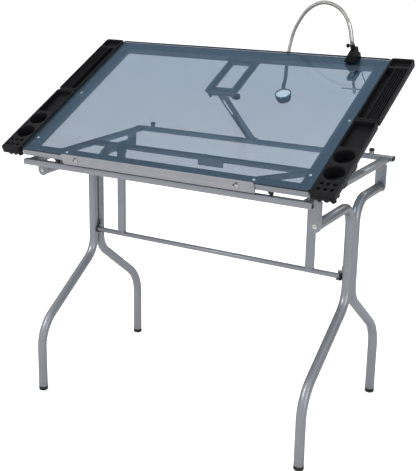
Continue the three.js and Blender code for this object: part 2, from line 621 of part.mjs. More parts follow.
function lampSocket() {
  const { bottom, top, knob } = SOCKET;
  const sleeve = turned([[0, bottom], [7, bottom], [7.5, bottom + 3], [6.8, top], [0, top]], 14);
  const stem = bar(2.5, [-11, 0, top - 5], [-5, 0, top - 5], 8);
  const grip = bar(knob, [-17, 0, top - 5], [-10.5, 0, top - 5], 12);
  return join(sleeve, stem, grip).translate(SOCKET.x, SOCKET.s, 0);
}
add('lamp_socket', lampSocket(), blackPlastic(), topGroup);

// The flexible arm climbs from the socket, arches over and drops behind the rear edge of the top,
// then runs forward below the frame to the lamp head.
function flexibleArm() {
  const path = new THREE.CatmullRomCurve3([
    [SOCKET.x, SOCKET.s, SOCKET.top + 0.8], [341, 589, 57], [337, 598, 83], [329, 607, 106], [299, 628, 133],
    [248, 643, 141], [195, 650, 114], [145, 647, 50], [124, 634, -5], [121, 611, -38], [133, 572, -44],
    [151, 523, -44], [163, 482, -44], [HEAD.x - 13, HEAD.s + 22, -44],
  ].map((p) => new THREE.Vector3(...p)), false, 'centripetal');
  return new THREE.ExtrudeGeometry(circle(ARM, 8), { steps: 46, bevelEnabled: false, extrudePath: path });
}
add('flexible_arm', flexibleArm(), steel(), topGroup);

function lampHead() {
  const shell = turned([[0, HEAD.bottom], [14, HEAD.bottom], [20, HEAD.bottom + 5], [HEAD.radius, HEAD.bottom + 14],
    [HEAD.radius, HEAD.top], [HEAD.radius - 2, HEAD.top], [HEAD.radius - 2, HEAD.top - 6], [0, HEAD.top - 6]], 20);
  const boss = bar(6.5, [HEAD.x - 12.4, HEAD.s + 20.7, -44], [HEAD.x - 6, HEAD.s + 6, -44], 10);
  return join(shell.translate(HEAD.x, HEAD.s, 0), boss);
}
add('lamp_head', lampHead(), blackPlastic(), topGroup);
add('lamp_lens', turned([[0, -35.7], [20.7, -35.7], [20.7, -33], [0, -31]], 20).translate(HEAD.x, HEAD.s, 0),
  finish(0xf4f6f2, 0.35, 0), topGroup);

// The lamp's cord leaves the clamp's side and drops beside the side bar of the frame.
function lampCord() {
  const path = new THREE.CatmullRomCurve3([
    [355.4, 604, -30], [357, 599, -38], [361, 588, -51], [370, 576, -65], [381, 566, -80],
  ].map((p) => new THREE.Vector3(...p)), false, 'centripetal');
  return new THREE.ExtrudeGeometry(circle(1.5, 6), { steps: 12, bevelEnabled: false, extrudePath: path });
}
add('lamp_cord', lampCord(), rubber(), topGroup);

// The trays' front ends and the rear rail's back set the table's overall depth.
table.position.y = -(onTop(0, TRAY.lead, TRAY.top).y + REAR_RAIL.back) / 2;

export default centred;
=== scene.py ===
"""The looks of a folding drafting table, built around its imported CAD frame.

Lengths in the helpers are millimetres unless a name ends in _m; the Blender scene is in metres.
"""

import json
import math
import random

import bmesh
import bpy
from mathutils import Matrix, Vector


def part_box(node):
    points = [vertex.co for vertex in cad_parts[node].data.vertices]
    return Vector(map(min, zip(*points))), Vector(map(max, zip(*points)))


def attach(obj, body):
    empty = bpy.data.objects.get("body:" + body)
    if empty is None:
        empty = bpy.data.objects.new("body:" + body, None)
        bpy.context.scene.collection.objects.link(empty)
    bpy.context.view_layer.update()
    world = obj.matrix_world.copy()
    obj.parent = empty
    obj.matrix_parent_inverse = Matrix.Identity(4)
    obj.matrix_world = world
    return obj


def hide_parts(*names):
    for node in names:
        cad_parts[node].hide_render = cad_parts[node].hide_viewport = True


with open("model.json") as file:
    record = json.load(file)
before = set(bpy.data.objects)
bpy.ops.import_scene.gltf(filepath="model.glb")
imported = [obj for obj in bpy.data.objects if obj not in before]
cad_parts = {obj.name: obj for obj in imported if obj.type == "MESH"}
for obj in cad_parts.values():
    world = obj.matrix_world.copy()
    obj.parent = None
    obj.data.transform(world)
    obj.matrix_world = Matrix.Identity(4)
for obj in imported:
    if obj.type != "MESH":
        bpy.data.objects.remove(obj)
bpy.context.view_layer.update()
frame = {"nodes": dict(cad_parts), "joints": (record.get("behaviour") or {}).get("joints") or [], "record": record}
record = frame["record"]
MM = 0.001
SIDES = (("left", -1), ("right", 1))


# ---- where things are ---------------------------------------------------------------------
def joint(name):
    return next(j for j in frame["joints"] if j["name"] == name)


def mount(name):
    return next(m for m in record["mounts"] if m["name"] == name)


def box_mm(node):
    low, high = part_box(node)
    return low / MM, high / MM


def middle(node):
    low, high = box_mm(node)
    return (low + high) / 2


surface = mount("drawing_surface")
UP = Vector(surface["axis"]).normalized()
ACROSS = Vector((1, 0, 0))
BACK = UP.cross(ACROSS)
GLASS_DEPTH = 597
GLASS_HALF = 447.5
FRONT_EDGE = Vector(surface["pos_m"]) / MM - BACK * (GLASS_DEPTH / 2)
TOP = Matrix((
    (ACROSS.x, BACK.x, UP.x, FRONT_EDGE.x),
    (ACROSS.y, BACK.y, UP.y, FRONT_EDGE.y),
    (ACROSS.z, BACK.z, UP.z, FRONT_EDGE.z),
    (0, 0, 0, 1),
))
TO_METRES = Matrix.Scale(MM, 4)


def on_axis(point, direction):
    """A matrix that puts +Z of a turned piece along a direction, at a point."""
    turn = Vector(direction).to_track_quat("Z", "Y").to_matrix().to_4x4()
    return Matrix.Translation(Vector(point)) @ turn


# ---- node materials -----------------------------------------------------------------------
class Nodes:
    """A short way to write a node tree."""

    def __init__(self, name):
        self.material = bpy.data.materials.new(name)
        self.material.use_nodes = True
        self.tree = self.material.node_tree
        self.tree.nodes.clear()
        self.output = self.add("OutputMaterial")
        self.place = self.add("TexCoord").outputs["Object"]

    def add(self, kind, **inputs):
        node = self.tree.nodes.new("ShaderNode" + kind)
        for name, value in inputs.items():
            self.set(node.inputs[name.replace("_", " ")], value)
        return node

    def set(self, socket, value):
        if isinstance(value, bpy.types.NodeSocket):
            self.tree.links.new(value, socket)
        else:
            socket.default_value = value

    def noise(self, scale, detail=3.0, rough=0.55, place=None):
        node = self.add("TexNoise", Scale=scale, Detail=detail, Roughness=rough)
        self.set(node.inputs["Vector"], place or self.place)
        return node.outputs["Fac"]

    def cells(self, scale):
        node = self.add("TexVoronoi", Scale=scale)
        self.set(node.inputs["Vector"], self.place)
        return node

    def ramp(self, value, low, high, start=0.3, end=0.7):
        node = self.add("MapRange")
        self.set(node.inputs["Value"], value)
        self.set(node.inputs["From Min"], start)
        self.set(node.inputs["From Max"], end)
        self.set(node.inputs["To Min"], low)
        self.set(node.inputs["To Max"], high)
        return node.outputs["Result"]

    def mix(self, share, a, b):
        node = self.add("Mix")
        node.data_type = "RGBA"
        self.set(node.inputs[0], share)
        self.set(node.inputs[6], (*a, 1) if isinstance(a, tuple) else a)
        self.set(node.inputs[7], (*b, 1) if isinstance(b, tuple) else b)
        return node.outputs[2]

    def math(self, kind, a, b):
        node = self.add("Math")
        node.operation = kind
        self.set(node.inputs[0], a)
        self.set(node.inputs[1], b)
        return node.outputs[0]

    def bump(self, height, strength, distance, normal=None):
        node = self.add("Bump", Strength=strength, Distance=distance, Height=height)
        if normal is not None:
            self.set(node.inputs["Normal"], normal)
        return node.outputs["Normal"]

    def worn_edges(self, radius):
        """0 on flat faces, rising to 1 where the surface turns sharply outward."""
        rounded = self.add("Bevel", Radius=radius)
        plain = self.add("NewGeometry").outputs["Normal"]
        dot = self.add("VectorMath")
        dot.operation = "DOT_PRODUCT"
        self.set(dot.inputs[0], rounded.outputs["Normal"])
        self.set(dot.inputs[1], plain)
        return self.ramp(dot.outputs["Value"], 1.0, 0.0, 0.80, 0.985)

    def finish(self, **inputs):
        shader = self.add("BsdfPrincipled", **inputs)
        self.set(self.output.inputs["Surface"], shader.outputs[0])
        return self.material


def silver_paint():
    n = Nodes("silver_powder_coat")
    cloud = n.noise(7.0, 4.0)
    flake = n.cells(5200.0).outputs["Color"]
    spark = n.ramp(n.add("SeparateColor", Color=flake).outputs[0], 0.0, 1.0, 0.0, 1.0)
    base = n.mix(n.ramp(cloud, 0.0, 1.0), (0.214, 0.225, 0.252), (0.248, 0.260, 0.288))
    base = n.mix(n.math("MULTIPLY", spark, 0.20), base, (0.46, 0.48, 0.52))
    edge = n.math("MULTIPLY", n.worn_edges(0.0012), n.ramp(n.noise(220.0), 0.1, 0.5, 0.35, 0.65))
    base = n.mix(edge, base, (0.42, 0.43, 0.46))
    grime = n.ramp(n.noise(34.0, 6.0, 0.65), 0.0, 0.16, 0.5, 0.8)
    base = n.mix(grime, base, (0.14, 0.147, 0.165))
    # Painted shade: the paint turns darker where the surface turns away from the view, towards its outline.
    painted_rim_shade = n.ramp(n.add("LayerWeight", Blend=0.35).outputs["Facing"], 0.0, 0.55, 0.35, 0.95)
    base = n.mix(painted_rim_shade, base, (0.075, 0.082, 0.098))
    rough = n.ramp(n.noise(90.0, 5.0), 0.30, 0.42)
    peel = n.bump(n.noise(750.0, 2.0), 0.16, 0.0004)
    fine = n.bump(spark, 0.05, 0.0001, peel)
    return n.finish(Base_Color=base, Metallic=0.62, Roughness=rough, Normal=fine, Coat_Weight=0.12,
                    Coat_Roughness=0.3)


def pale_paint():
    n = Nodes("pale_ledge_paint")
    cloud = n.noise(9.0, 4.0)
    base = n.mix(n.ramp(cloud, 0.0, 1.0), (0.275, 0.28, 0.305), (0.315, 0.318, 0.345))
    edge = n.math("MULTIPLY", n.worn_edges(0.0010), 0.4)
    base = n.mix(edge, base, (0.45, 0.46, 0.49))
    rough = n.ramp(n.noise(70.0, 5.0), 0.42, 0.54)
    peel = n.bump(n.noise(800.0, 2.0), 0.18, 0.0004)
    return n.finish(Base_Color=base, Metallic=0.35, Roughness=rough, Normal=peel)


def bright_steel():
    """Plated steel with a slightly cloudy shine."""
    n = Nodes("bright_steel")
    tone = (0.60, 0.60, 0.58)
    spot = n.noise(60.0, 5.0)
    base = n.mix(n.ramp(spot, 0.0, 0.5), tone, tuple(0.72 * c for c in tone))
    rough = n.ramp(n.noise(260.0, 4.0), 0.16, 0.32)
    lines = n.bump(n.noise(1400.0, 2.0), 0.08, 0.0002)
    return n.finish(Base_Color=base, Metallic=1.0, Roughness=rough, Normal=lines)


def ribbed_steel():
    """Wound steel strip, with painted shade where it turns away from the view."""
    n = Nodes("ribbed_steel")
    spot = n.noise(60.0, 5.0)
    base = n.mix(n.ramp(spot, 0.0, 0.5), (0.40, 0.395, 0.375), (0.30, 0.295, 0.28))
    # Painted shade: the steel goes nearly black where the coil turns away from the view.
    painted_rim_shade = n.ramp(n.add("LayerWeight", Blend=0.5).outputs["Facing"], 0.0, 0.92, 0.30, 0.72)
    base = n.mix(painted_rim_shade, base, (0.035, 0.034, 0.032))
    rough = n.ramp(n.noise(260.0, 4.0), 0.30, 0.42)
    lines = n.bump(n.noise(1400.0, 2.0), 0.08, 0.0002)
    return n.finish(Base_Color=base, Metallic=0.85, Roughness=rough, Normal=lines)


def moulded_black(name, tone, low, high, grain, depth):
    """Moulded black plastic with a fine spark-eroded grain and a little dust on upward faces."""
    n = Nodes(name)
    base = n.mix(n.ramp(n.noise(12.0, 4.0), 0.0, 1.0), tone, tuple(1.5 * c for c in tone))
    up = n.add("SeparateXYZ", Vector=n.add("NewGeometry").outputs["Normal"]).outputs["Z"]
    dust = n.math("MULTIPLY", n.ramp(up, 0.0, 0.06, 0.3, 1.0), n.ramp(n.noise(45.0, 6.0, 0.7), 0.0, 1.0))
    base = n.mix(dust, base, (0.028, 0.028, 0.033))
    edge = n.math("MULTIPLY", n.worn_edges(0.0010), 0.14)
    base = n.mix(edge, base, (0.10, 0.10, 0.11))
    rough = n.ramp(n.noise(150.0, 4.0), low, high)
    pits = n.bump(n.cells(grain).outputs["Distance"], depth, 0.0002)
    swell = n.bump(n.noise(30.0, 2.0), 0.04, 0.001, pits)
    return n.finish(Base_Color=base, Roughness=rough, Normal=swell, Specular_IOR_Level=0.11)


def black_rubber():
    n = Nodes("black_rubber")
    base = n.mix(n.ramp(n.noise(50.0, 5.0), 0.0, 1.0), (0.010, 0.010, 0.011), (0.028, 0.027, 0.026))
    up = n.add("SeparateXYZ", Vector=n.place).outputs["Z"]
    scuff = n.math("MULTIPLY", n.ramp(up, 0.55, 0.0, 0.0, 0.012), n.ramp(n.noise(160.0, 6.0), 0.0, 1.0))
    base = n.mix(scuff, base, (0.05, 0.049, 0.048))
    rough = n.ramp(n.noise(300.0, 3.0), 0.34, 0.52)
    return n.finish(Base_Color=base, Roughness=rough, Normal=n.bump(n.noise(1700.0, 3.0), 0.25, 0.0003),
                    Specular_IOR_Level=0.16)


def tinted_glass():
    """Clear tinted glass: straight see-through colour on each face, with a polished reflection."""
    n = Nodes("tinted_glass")
    haze = n.ramp(n.noise(5.0, 3.0), 0.0, 1.0)
    seen = n.mix(haze, (0.620, 0.652, 0.694), (0.632, 0.664, 0.706))
    cast = n.mix(haze, (0.70, 0.93, 1.0), (0.72, 0.94, 1.0))
    shadow = n.add("LightPath").outputs["Is Shadow Ray"]
    clear = n.add("BsdfTransparent", Color=n.mix(shadow, seen, cast))
    ripple = n.bump(n.noise(3.0, 1.0), 0.01, 0.001)
    smear = n.ramp(n.noise(16.0, 7.0, 0.7), 0.0, 0.02, 0.5, 0.8)
    gloss = n.add("BsdfGlossy", Color=(0.62, 0.84, 1.0, 1), Roughness=smear, Normal=ripple)
    share = n.add("Fresnel", IOR=1.45, Normal=ripple).outputs[0]
    share = n.math("MULTIPLY", share, 0.45)
    both = n.add("MixShader")
    n.set(both.inputs[0], share)
    n.set(both.inputs[1], clear.outputs[0])
    n.set(both.inputs[2], gloss.outputs[0])
    n.set(n.output.inputs["Surface"], both.outputs[0])
    return n.material


def glass_edge():
    """The ground edge, where light travels the long way through the tint."""
    n = Nodes("glass_edge")
    base = n.mix(n.ramp(n.noise(40.0, 4.0), 0.0, 1.0), (0.006, 0.012, 0.022), (0.012, 0.022, 0.036))
    rough = n.ramp(n.noise(500.0, 3.0), 0.14, 0.28)
    return n.finish(Base_Color=base, Roughness=rough, IOR=1.5, Specular_IOR_Level=0.3,
                    Normal=n.bump(n.noise(900.0, 2.0), 0.05, 0.0002))


def frosted_lens():
    n = Nodes("frosted_lens")
    rings = n.bump(n.noise(900.0, 2.0), 0.2, 0.0003)
    base = n.mix(n.ramp(n.noise(120.0), 0.0, 1.0), (0.88, 0.89, 0.86), (0.95, 0.95, 0.93))
    return n.finish(Base_Color=base, Roughness=0.28, Transmission_Weight=0.25, Normal=rings,
                    Emission_Color=(1.0, 0.98, 0.92, 1), Emission_Strength=0.8)


def pale_floor():
    """A matt studio floor with a little glow of its own, so that it runs into the backdrop."""
    n = Nodes("pale_floor")
    base = n.mix(n.ramp(n.noise(0.7, 3.0), 0.0, 1.0), (0.90, 0.90, 0.90), (0.91, 0.91, 0.91))
    seen = n.add("LightPath").outputs["Is Camera Ray"]
    glow = n.math("MULTIPLY", seen, 0.62)
    return n.finish(Base_Color=base, Roughness=0.95, Specular_IOR_Level=0.0,
                    Emission_Color=(1.0, 1.0, 1.0, 1), Emission_Strength=glow)


SILVER = silver_paint()
PALE = pale_paint()
STEEL = bright_steel()
RIBBED = ribbed_steel()
TRAY = moulded_black("tray_plastic", (0.0065, 0.0065, 0.0080), 0.34, 0.50, 1500.0, 0.22)
BLACK = moulded_black("black_plastic", (0.0060, 0.0060, 0.0068), 0.30, 0.42, 1900.0, 0.12)
RUBBER = black_rubber()
GLASS = tinted_glass()
EDGE = glass_edge()
LENS = frosted_lens()


# ---- mesh helpers -------------------------------------------------------------------------
def finished(name, bm, material, body, nodes=(), place=None, sharp=32):
    """Turns a millimetre bmesh into a smooth-shaded piece that rides on a body."""
    bmesh.ops.remove_doubles(bm, verts=bm.verts, dist=0.002)
    if all(edge.is_manifold for edge in bm.edges):
        bmesh.ops.recalc_face_normals(bm, faces=bm.faces)
    if bm.calc_volume(signed=True) < 0:
        bmesh.ops.reverse_faces(bm, faces=bm.faces)
    if place is not None:
        bmesh.ops.transform(bm, matrix=place, verts=bm.verts)
    bmesh.ops.transform(bm, matrix=TO_METRES, verts=bm.verts)
    mesh = bpy.data.meshes.new(name)
    bm.to_mesh(mesh)
    bm.free()
    mesh.materials.append(material)
    mesh.polygons.foreach_set("use_smooth", [True] * len(mesh.polygons))
    mesh.set_sharp_from_angle(angle=math.radians(sharp))
    piece = bpy.data.objects.new(name, mesh)
    bpy.context.scene.collection.objects.link(piece)
    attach(piece, body)
    if nodes:
        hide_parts(*nodes)
    return piece


def body_holding(node):
    bodies = record["behaviour"]["bodies"]
    return next(body for body, members in bodies.items() if node in members)


def sweep(bm, points, radii, sides=24):
    """A round bar along a line of points; radii is one number or one per point."""
    count = len(points)
    if not isinstance(radii, (list, tuple)):
        radii = [radii] * count
    tangent = (points[1] - points[0]).normalized()
    side = tangent.orthogonal().normalized()
    rings = []
    for i, point in enumerate(points):
        ahead = points[min(i + 1, count - 1)] - points[max(i - 1, 0)]
        ahead.normalize()
        side = tangent.rotation_difference(ahead) @ side
        tangent = ahead
        side = (side - tangent * side.dot(tangent)).normalized()
        other = tangent.cross(side)
        ring = []
        for k in range(sides):
            a = math.tau * k / sides
            ring.append(bm.verts.new(point + (side * math.cos(a) + other * math.sin(a)) * radii[i]))
        rings.append(ring)
    for low, high in zip(rings, rings[1:]):
        for k in range(sides):
            m = (k + 1) % sides
            bm.faces.new((low[k], low[m], high[m], high[k]))
    bm.faces.new(list(reversed(rings[0])))
    bm.faces.new(rings[-1])


def turn(bm, profile, sides=32, place=None):
    """A turned shape about +Z: profile is (radius, height) pairs, starting and ending on the axis."""
    place = place or Matrix.Identity(4)
    rings = []
    for radius, height in profile:
        if radius < 1e-6:
            rings.append([bm.verts.new(place @ Vector((0, 0, height)))])
            continue
        ring = []
        for k in range(sides):
            a = math.tau * k / sides
            ring.append(bm.verts.new(place @ Vector((radius * math.cos(a), radius * math.sin(a), height))))
        rings.append(ring)
    for low, high in zip(rings, rings[1:]):
        for k in range(sides):
            m = (k + 1) % sides
            corners = [low[k % len(low)], low[m % len(low)], high[m % len(high)], high[k % len(high)]]
            kept = [v for i, v in enumerate(corners) if v not in corners[:i]]
            if len(kept) > 2:
                bm.faces.new(kept)


def rounded_corners(points, radii, steps=10):
    """A line through corner points with an arc of the given radius at each inner corner."""
    line = [points[0].copy()]
    for i in range(1, len(points) - 1):
        corner, radius = points[i], radii[i]
        before = (points[i - 1] - corner).normalized()
        after = (points[i + 1] - corner).normalized()
        half = before.angle(after) / 2
        centre = corner + (before + after).normalized() * (radius / math.sin(half))
        start = corner + before * (radius / math.tan(half)) - centre
        axis = after.cross(before).normalized()
        for k in range(steps + 1):
            turn_by = Matrix.Rotation((math.pi - 2 * half) * k / steps, 3, axis)
            line.append(centre + turn_by @ start)
    line.append(points[-1].copy())
    return line


def outline(bm, points, z0, z1):
    """A closed outline of (x, y) pairs pushed up from z0 to z1."""
    low = [bm.verts.new((x, y, z0)) for x, y in points]
    high = [bm.verts.new((x, y, z1)) for x, y in points]
    bm.faces.new(list(reversed(low)))
    bm.faces.new(high)
    for i in range(len(points)):
        j = (i + 1) % len(points)
        bm.faces.new((low[i], low[j], high[j], high[i]))


def rounded_rect(x0, x1, y0, y1, r, steps=6):
    points = []
    corners = ((x1 - r, y0 + r, -90), (x1 - r, y1 - r, 0), (x0 + r, y1 - r, 90), (x0 + r, y0 + r, 180))
    for cx, cy, a0 in corners:
        for k in range(steps + 1):
            a = math.radians(a0 + 90 * k / steps)
            points.append((cx + r * math.cos(a), cy + r * math.sin(a)))
    return points


def soften(bm, width, angle=28, segments=2):
    """Rounds every edge that turns more than the given angle, and closes what the rounding opens."""
    bmesh.ops.remove_doubles(bm, verts=bm.verts, dist=0.002)
    limit = math.radians(angle)
    bmesh.ops.dissolve_limit(bm, angle_limit=math.radians(0.6), verts=bm.verts, edges=bm.edges)
    many_sided = [f for f in bm.faces if len(f.verts) > 4]
    bmesh.ops.triangulate(bm, faces=many_sided, quad_method="BEAUTY", ngon_method="BEAUTY")
    edges = [e for e in bm.edges if len(e.link_faces) == 2 and e.calc_face_angle() > limit]
    bmesh.ops.bevel(bm, geom=edges, offset=width, segments=segments, profile=0.6, affect="EDGES",
                    clamp_overlap=True)
    bmesh.ops.delete(bm, geom=[e for e in bm.edges if not e.link_faces], context="EDGES")
    bmesh.ops.holes_fill(bm, edges=[e for e in bm.edges if e.is_boundary], sides=0)


def refined(node, material, width=0.7, angle=28, segments=2):
    """A CAD node's own shape with rounded edges and a painted finish."""
    bm = bmesh.new()
    bm.from_mesh(frame["nodes"][node].data)
    bmesh.ops.scale(bm, vec=(1 / MM,) * 3, verts=bm.verts)
    soften(bm, width, angle, segments)
    return finished(node + "_form", bm, material, body_holding(node), (node,))


def held(bm, name):
    """Puts a bmesh into the scene for a moment, as an object that a modifier can use."""
    bmesh.ops.recalc_face_normals(bm, faces=bm.faces)
    mesh = bpy.data.meshes.new(name)
    bm.to_mesh(mesh)
    bm.free()
    thing = bpy.data.objects.new(name, mesh)
    bpy.context.scene.collection.objects.link(thing)
    return thing


def combined(blank, others, operation):
    """Cuts a list of bmeshes out of a blank bmesh, or joins them to it, and returns the result."""
    body = held(blank, "blank")
    tools = [held(other, "tool") for other in others]
    for tool in tools:
        change = body.modifiers.new("change", "BOOLEAN")
        change.operation = operation
        change.solver = "EXACT"
        change.object = tool
    bpy.context.view_layer.update()
    whole = body.evaluated_get(bpy.context.evaluated_depsgraph_get())
    result = bpy.data.meshes.new_from_object(whole)
    bm = bmesh.new()
    bm.from_mesh(result)
    for thing in [body, *tools]:
        bpy.data.objects.remove(thing)
    return bm


# ---- hardware -----------------------------------------------------------------------------
def pan_head(bm, place, radius, height):
    """A pan-head screw head with a small recess, seat at z = 0."""
    profile = [(0, 0), (radius, 0), (radius, height * 0.45), (radius * 0.9, height * 0.75),
               (radius * 0.62, height), (radius * 0.30, height), (radius * 0.24, height * 0.35),
               (0, height * 0.3)]
    turn(bm, profile, 28, place)


def hex_nut(bm, place, across, height, bore):
    """A chamfered hexagon nut with the threaded end of its bolt showing."""
    flat = across / 2
    corner = flat / math.cos(math.pi / 6)
    levels = [(0.0, flat * 0.98), (height * 0.12, corner), (height * 0.88, corner),
              (height, flat * 0.98)]
    rings = []
    for z, radius in levels:
        ring = []
        for k in range(24):
            a = math.tau * k / 24
            hexagon = flat / math.cos((a % (math.pi / 3)) - math.pi / 6)
            r = min(hexagon, radius)
            ring.append(bm.verts.new(place @ Vector((r * math.cos(a), r * math.sin(a), z))))
        rings.append(ring)
    for low, high in zip(rings, rings[1:]):
        for k in range(24):
            m = (k + 1) % 24
            bm.faces.new((low[k], low[m], high[m], high[k]))
    bm.faces.new(list(reversed(rings[0])))
    bm.faces.new(rings[-1])
    turn(bm, [(0, height * 0.6), (bore, height * 0.6), (bore, height + 0.6), (bore - 0.6, height + 1.1),
              (0, height + 1.1)], 20, place)


def dome(radius, height, steps=6):
    return [(radius * math.cos(math.pi / 2 * k / steps), height * math.sin(math.pi / 2 * k / steps))
            for k in range(steps)] + [(0, height)]


# ---- base frame ---------------------------------------------------------------------------
def build_rails():
    for node in ("front_rail", "side_rail_left", "side_rail_right", "rear_rail", "mid_rail",
                 "diagonal_rail_left", "diagonal_rail_right"):
        refined(node, SILVER, 1.1, 40)
    for node in ("centre_catch", "strut_clevis"):
        refined(node, SILVER, 0.5, 40)
    for name, _ in SIDES:
        refined(f"rail_plug_{name}", BLACK, 1.0, 40)


def build_rest_caps():
    for name, _ in SIDES:
        node = f"rest_cap_{name}"
        low, high = box_mm(node)
        radius = (high.x - low.x) / 2
        tall = high.z - low.z
        bm = bmesh.new()
        profile = [(0, 0), (radius - 0.4, 0), (radius, 0.4), (radius, tall - 1.6), (radius - 0.5, tall - 0.5),
                   (radius - 1.6, tall), (0, tall)]
        turn(bm, profile, 32, Matrix.Translation((middle(node).x, middle(node).y, low.z)))
        finished(node + "_form", bm, RUBBER, "frame", (node,))


# ---- legs ---------------------------------------------------------------------------------
def leg_line(name, place):
    """The centre line of one leg tube, from its foot to its arm's end at the pivot plate."""
    node = f"leg_{place}_{name}"
    low, high = box_mm(node)
    radius = (high.x - low.x) / 2
    x = (low.x + high.x) / 2
    end = -1 if place == "front" else 1
    foot_y = middle(f"foot_{place}_{name}").y
    post_y = high.y - radius if end < 0 else low.y + radius
    arm_z = joint(f"leg_fold_{name}")["pos_m"][2] / MM
    bolt_low, bolt_high = box_mm(f"pivot_bolt_{place}_{name}")
    arm_end = bolt_high.y + 0.3 if end < 0 else bolt_low.y - 0.3
    knee = 205 if end < 0 else 215
    corners = [Vector((x, foot_y, low.z)), Vector((x, foot_y, knee)), Vector((x, post_y, 386)),
               Vector((x, post_y, arm_z)), Vector((x, arm_end, arm_z))]
    return rounded_corners(corners, [0, 120, 80, 62, 0], 14), radius


def build_legs():
    for name, _ in SIDES:
        body = f"leg_set_{name}"
        for place in ("front", "rear"):
            line, radius = leg_line(name, place)
            bm = bmesh.new()
            start = (line[1] - line[0]).normalized()
            finish = (line[-1] - line[-2]).normalized()
            path = [line[0], line[0] + start * 0.6] + line[1:-1] + [line[-1] - finish * 0.9, line[-1]]
            radii = [radius - 0.6] + [radius] * (len(path) - 3) + [radius, radius - 0.9]
            sweep(bm, path, radii, 40)
            node = f"leg_{place}_{name}"
            finished(node + "_tube", bm, SILVER, body, (node,), sharp=50)
            build_foot(name, place, body)
            build_pivot_bolt(name, place, body)
        refined(f"brace_catch_{name}", SILVER, 0.6, 40)


def build_foot(name, place, body):
    """A rubber plug in the tube's end, with one thin groove round it."""
    node = f"foot_{place}_{name}"
    low, high = box_mm(node)
    radius = (high.x - low.x) / 2
    tall = high.z
    profile = [(0, 1.0), (radius - 6, 1.0), (radius - 5, 0), (radius - 2.6, 0), (radius - 0.8, 1.2),
               (radius, 3.0), (radius, 6.2), (radius - 0.4, 6.6), (radius - 0.4, 7.2), (radius, 7.6),
               (radius, tall - 0.9), (radius - 0.3, tall - 0.2), (radius - 1, tall), (0, tall)]
    bm = bmesh.new()
    turn(bm, profile, 48, Matrix.Translation((middle(node).x, middle(node).y, 0)))
    finished(node + "_cap", bm, RUBBER, body, (node,))


def build_pivot_bolt(name, place, body):
    """A carriage bolt through the pivot plate, with a washer and a hexagon nut outside it."""
    node = f"pivot_bolt_{place}_{name}"
    low, high = box_mm(node)
    way = -1 if place == "front" else 1
    inner, outer = (high.y, low.y) if way < 0 else (low.y, high.y)
    seat = outer - way * 3.2
    centre = middle(node)
    bm = bmesh.new()
    line = [Vector((centre.x, inner, centre.z)), Vector((centre.x, seat + way * 0.5, centre.z))]
    sweep(bm, line, 3.9, 24)
    washer = on_axis((centre.x, seat, centre.z), (0, way, 0))
    turn(bm, [(0, 0), (6.2, 0), (6.5, 0.2), (6.5, 0.6), (6.2, 0.8), (0, 0.8)], 36, washer)
    hex_nut(bm, on_axis((centre.x, seat + way * 0.8, centre.z), (0, way, 0)), 9.0, 1.2, 2.4)
    finished(node + "_form", bm, STEEL, body, (node,), sharp=30)


# ---- swing-down brace ---------------------------------------------------------------------
BRACE_POST_X = 321
BRACE_BAR_RADIUS = 7.5


def build_brace():
    pivot = Vector(joint("brace_fold")["pos_m"]) / MM
    low, high = box_mm("swing_brace")
    bar = BRACE_BAR_RADIUS
    bar_z = low.z + bar
    bm = bmesh.new()
    half = high.x
    line = [Vector((-half, pivot.y, bar_z)), Vector((-half + 0.8, pivot.y, bar_z)),
            Vector((half - 0.8, pivot.y, bar_z)), Vector((half, pivot.y, bar_z))]
    sweep(bm, line, [bar - 0.8, bar, bar, bar - 0.8], 32)
    finished("brace_crossbar", bm, SILVER, "brace", ("swing_brace",), sharp=50)
    for name, side in SIDES:
        x = side * BRACE_POST_X
        points = [(-6.35, bar_z + 4)]
        points += [(6.35 * math.cos(a), pivot.z + 6.35 * math.sin(a))
                   for a in [math.radians(180 - 15 * k) for k in range(13)]]
        points += [(6.35, bar_z + 4)]
        bm = bmesh.new()
        outline(bm, points, -12, 12)
        eye = bmesh.new()
        turn(eye, [(0, -14), (3.2, -14), (3.2, 14), (0, 14)], 24, Matrix.Translation((0, pivot.z, 0)))
        bm = combined(bm, [eye], "DIFFERENCE")
        soften(bm, 0.9, 40)
        stand = Matrix(((0, 0, 1, x), (1, 0, 0, pivot.y), (0, 1, 0, 0), (0, 0, 0, 1)))
        finished(f"brace_post_{name}", bm, SILVER, "brace", (), place=stand)
        bm = bmesh.new()
        loop = [Vector((x + dx, pivot.y + dy, bar_z + bar * 0.72)) for dx, dy in bead_loop(12.6, 6.6)]
        bead(bm, loop, 1.7, 11)
        finished(f"brace_weld_{name}", bm, SILVER, "brace", (), sharp=60)
        build_brace_plug(name, side)
        build_rivet(f"brace_pin_{name}", "frame", 2.9)


def bead_loop(half_x, half_y, steps=44):
    """Points round a rounded rectangle, for a weld bead."""
    return [(half_x * math.copysign(abs(math.cos(a)) ** 0.35, math.cos(a)),
             half_y * math.copysign(abs(math.sin(a)) ** 0.35, math.sin(a)))
            for a in [math.tau * k / steps for k in range(steps)]]


def bead(bm, loop, radius, seed):
    """A lumpy ring of weld metal round a closed loop of points."""
    shake = random.Random(seed)
    count = len(loop)
    rings = []
    for i, point in enumerate(loop):
        ahead = (loop[(i + 1) % count] - loop[i - 1]).normalized()
        side = Vector((0, 0, 1))
        other = ahead.cross(side).normalized()
        r = radius * (0.85 + 0.25 * shake.random())
        rings.append([bm.verts.new(point + (side * math.cos(a) + other * math.sin(a)) * r)
                      for a in [math.tau * k / 10 for k in range(10)]])
    for i in range(count):
        low, high = rings[i], rings[(i + 1) % count]
        for k in range(10):
            m = (k + 1) % 10
            bm.faces.new((low[k], low[m], high[m], high[k]))


